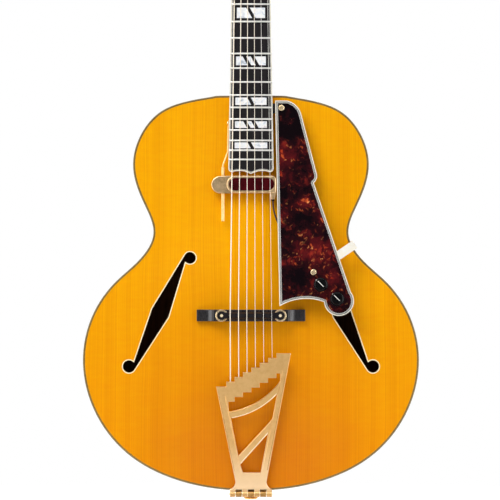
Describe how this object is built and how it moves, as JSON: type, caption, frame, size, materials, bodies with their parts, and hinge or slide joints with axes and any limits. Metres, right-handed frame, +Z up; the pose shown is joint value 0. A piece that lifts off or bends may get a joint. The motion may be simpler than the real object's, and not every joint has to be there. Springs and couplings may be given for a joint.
{
  "type": "archtop guitar",
  "caption": "Hollow archtop guitar with arched top and back, straight-sided f-holes, floating pickup, pickguard controls, adjustable bridge, hinged stair-step tailpiece and geared tuners.",
  "frame": {"origin": "on the end pin's axis at the tail edge of the body, half way through the depth of the ribs", "axes": "+X to the treble side, +Y to the back, +Z up along the neck"},
  "size_m": [0.432, 0.1418, 1.0545],
  "materials": {
    "spruce": "gloss",
    "maple": "gloss",
    "inner_wood": "bare",
    "ebony": "satin",
    "cream_ply": "gloss",
    "pearl": "gloss",
    "bone": "satin",
    "gold_plate": "satin",
    "nickel_wire": "satin",
    "steel_wire": "polished",
    "tortoiseshell": "gloss",
    "black_plastic": "gloss",
    "red_plastic": "gloss",
    "lead_sleeve": "satin",
    "steel": "satin"
  },
  "bodies": {
    "guitar": {"top_plate": "spruce", "back_plate": "maple", "rib_bass": "maple", "rib_treble": "maple", "f_hole_bindings": "cream_ply", "body_binding": "cream_ply", "neck_block": "inner_wood", "tail_block": "inner_wood", "linings": "inner_wood", "tone_bars": "inner_wood", "neck": "maple", "heel_cap": "ebony", "truss_rod": "steel", "fingerboard": "ebony", "position_inlays": "pearl", "fingerboard_binding": "cream_ply", "frets": "steel", "nut": "bone", "headstock_overlay": "ebony", "headstock_binding": "cream_ply", "truss_rod_cover": "black_plastic", "tuner_housings": "gold_plate", "tuner_bushings": "gold_plate", "headstock_screws": "gold_plate", "wound_strings": "nickel_wire", "plain_strings": "steel_wire", "bridge_base": "ebony", "bridge_studs": "gold_plate", "tailpiece_bracket": "gold_plate", "tailpiece_screws": "gold_plate", "hinge_pin": "gold_plate", "end_pin_jack": "gold_plate", "pickguard": "tortoiseshell", "pickguard_binding": "cream_ply", "pickguard_bracket": "gold_plate", "pickguard_block": "ebony", "fitting_screws": "gold_plate", "potentiometers": "steel", "pickup_rod": "gold_plate", "pickup_lead": "lead_sleeve"},
    "saddle": {"bridge_saddle": "ebony"},
    "wheel_bass": {"thumbwheel_bass": "gold_plate"},
    "wheel_treble": {"thumbwheel_treble": "gold_plate"},
    "tailpiece": {"tailpiece": "gold_plate"},
    "volume": {"volume_knob": "black_plastic"},
    "tone": {"tone_knob": "black_plastic"},
    "pickup": {"pickup_case": "gold_plate", "pickup_coil": "red_plastic"},
    "post_1": {"tuner_post_1": "gold_plate"},
    "button_1": {"tuner_button_1": "gold_plate"},
    "post_2": {"tuner_post_2": "gold_plate"},
    "button_2": {"tuner_button_2": "gold_plate"},
    "post_3": {"tuner_post_3": "gold_plate"},
    "button_3": {"tuner_button_3": "gold_plate"},
    "post_4": {"tuner_post_4": "gold_plate"},
    "button_4": {"tuner_button_4": "gold_plate"},
    "post_5": {"tuner_post_5": "gold_plate"},
    "button_5": {"tuner_button_5": "gold_plate"},
    "post_6": {"tuner_post_6": "gold_plate"},
    "button_6": {"tuner_button_6": "gold_plate"}
  },
  "joints": [
    {"name": "tuner_button_1_turn", "type": "hinge", "parent": "guitar", "child": "button_1", "pos_m": [-0.025, 0.00389, 0.9073], "axis": [-1, 0, 0], "continuous": true},
    {"name": "tuner_post_1_turn", "type": "hinge", "parent": "guitar", "child": "post_1", "pos_m": [-0.025, -0.01798, 0.90616], "axis": [0, -0.9532, 0.3024], "continuous": true},
    {"name": "tuner_button_2_turn", "type": "hinge", "parent": "guitar", "child": "button_2", "pos_m": [-0.0274, 0.01568, 0.94448], "axis": [-1, 0, 0], "continuous": true},
    {"name": "tuner_post_2_turn", "type": "hinge", "parent": "guitar", "child": "post_2", "pos_m": [-0.0274, -0.00619, 0.94334], "axis": [0, -0.9532, 0.3024], "continuous": true},
    {"name": "tuner_button_3_turn", "type": "hinge", "parent": "guitar", "child": "button_3", "pos_m": [-0.0298, 0.02748, 0.98165], "axis": [-1, 0, 0], "continuous": true},
    {"name": "tuner_post_3_turn", "type": "hinge", "parent": "guitar", "child": "post_3", "pos_m": [-0.0298, 0.00561, 0.98051], "axis": [0, -0.9532, 0.3024], "continuous": true},
    {"name": "tuner_button_4_turn", "type": "hinge", "parent": "guitar", "child": "button_4", "pos_m": [0.025, 0.00389, 0.9073], "axis": [1, 0, 0], "continuous": true},
    {"name": "tuner_post_4_turn", "type": "hinge", "parent": "guitar", "child": "post_4", "pos_m": [0.025, -0.01798, 0.90616], "axis": [0, -0.9532, 0.3024], "continuous": true},
    {"name": "tuner_button_5_turn", "type": "hinge", "parent": "guitar", "child": "button_5", "pos_m": [0.0274, 0.01568, 0.94448], "axis": [1, 0, 0], "continuous": true},
    {"name": "tuner_post_5_turn", "type": "hinge", "parent": "guitar", "child": "post_5", "pos_m": [0.0274, -0.00619, 0.94334], "axis": [0, -0.9532, 0.3024], "continuous": true},
    {"name": "tuner_button_6_turn", "type": "hinge", "parent": "guitar", "child": "button_6", "pos_m": [0.0298, 0.02748, 0.98165], "axis": [1, 0, 0], "continuous": true},
    {"name": "tuner_post_6_turn", "type": "hinge", "parent": "guitar", "child": "post_6", "pos_m": [0.0298, 0.00561, 0.98051], "axis": [0, -0.9532, 0.3024], "continuous": true},
    {"name": "saddle_height", "type": "slide", "parent": "guitar", "child": "saddle", "axis": [0, -1, 0], "range_m": [-0.002, 0]},
    {"name": "thumbwheel_bass_turn", "type": "hinge", "parent": "saddle", "child": "wheel_bass", "pos_m": [-0.0375, -0.06827, 0.2257], "axis": [0, -1, 0], "range_deg": [-900, 0]},
    {"name": "thumbwheel_treble_turn", "type": "hinge", "parent": "saddle", "child": "wheel_treble", "pos_m": [0.0375, -0.06827, 0.2257], "axis": [0, -1, 0], "range_deg": [-900, 0]},
    {"name": "tailpiece_hinge", "type": "hinge", "parent": "guitar", "child": "tailpiece", "pos_m": [0, -0.0437, -0.004], "axis": [1, 0, 0], "range_deg": [0, 20], "deforming": ["wound_strings", "plain_strings"]},
    {"name": "volume_knob_turn", "type": "hinge", "parent": "guitar", "child": "volume", "pos_m": [0.0892, -0.07138, 0.2652], "axis": [0, -0.998, 0.0628], "range_deg": [-195, 105]},
    {"name": "tone_knob_turn", "type": "hinge", "parent": "guitar", "child": "tone", "pos_m": [0.11, -0.07252, 0.247], "axis": [0, -0.998, 0.0628], "range_deg": [-195, 105]},
    {"name": "pickup_slide", "type": "slide", "parent": "guitar", "child": "pickup", "axis": [0, 0.0628, 0.998], "range_m": [-0.022, 0], "deforming": ["pickup_lead"]}
  ],
  "couplings": [
    {"joint": "tuner_post_1_turn", "follows": "tuner_button_1_turn", "ratio": -0.071429},
    {"joint": "tuner_post_2_turn", "follows": "tuner_button_2_turn", "ratio": -0.071429},
    {"joint": "tuner_post_3_turn", "follows": "tuner_button_3_turn", "ratio": -0.071429},
    {"joint": "tuner_post_4_turn", "follows": "tuner_button_4_turn", "ratio": 0.071429},
    {"joint": "tuner_post_5_turn", "follows": "tuner_button_5_turn", "ratio": 0.071429},
    {"joint": "tuner_post_6_turn", "follows": "tuner_button_6_turn", "ratio": 0.071429},
    {"joint": "thumbwheel_bass_turn", "follows": "saddle_height", "rad_per_m": 7854},
    {"joint": "thumbwheel_treble_turn", "follows": "saddle_height", "rad_per_m": 7854}
  ]
}
